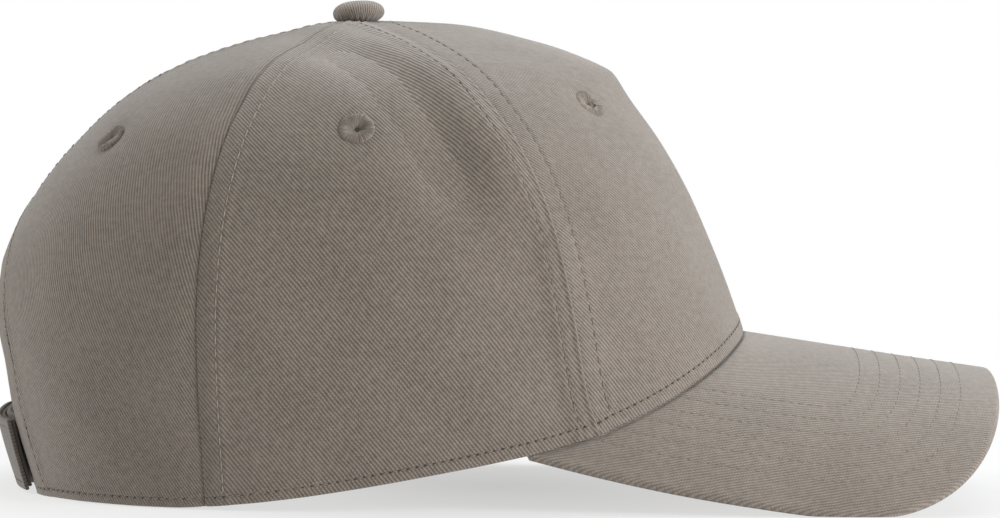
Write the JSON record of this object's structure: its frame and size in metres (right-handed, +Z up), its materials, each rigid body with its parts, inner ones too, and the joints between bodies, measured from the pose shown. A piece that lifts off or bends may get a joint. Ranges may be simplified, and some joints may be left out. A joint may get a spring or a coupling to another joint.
{
  "type": "five panel cap",
  "caption": "Five panel cap in plain cotton twill: one wide stiff front panel, curved stitched peak, covered button, embroidered eyelets, rear opening with a hook and loop strap.",
  "frame": {"origin": "middle of the outline seen from above, on the surface the cap stands on", "axes": "+X forward along the peak, +Y to the wearer's left, +Z up out of the button"},
  "size_m": [0.2775, 0.1696, 0.1357],
  "materials": {
    "twill": "matt cotton twill",
    "embroidery": "tight satin stitch thread",
    "band_cloth": "matt cotton tape",
    "strap_cloth": "matt twill strap with hook and loop facing"
  },
  "bodies": {
    "root": {"front_panel": "twill", "right_side_panel": "twill", "left_side_panel": "twill", "right_rear_panel": "twill", "left_rear_panel": "twill", "peak": "twill", "sweatband": "band_cloth", "right_strap": "strap_cloth", "left_strap": "strap_cloth", "button": "twill", "right_front_eyelet": "embroidery", "right_side_eyelet": "embroidery", "right_rear_eyelet": "embroidery", "left_front_eyelet": "embroidery", "left_side_eyelet": "embroidery", "left_rear_eyelet": "embroidery"}
  },
  "joints": []
}
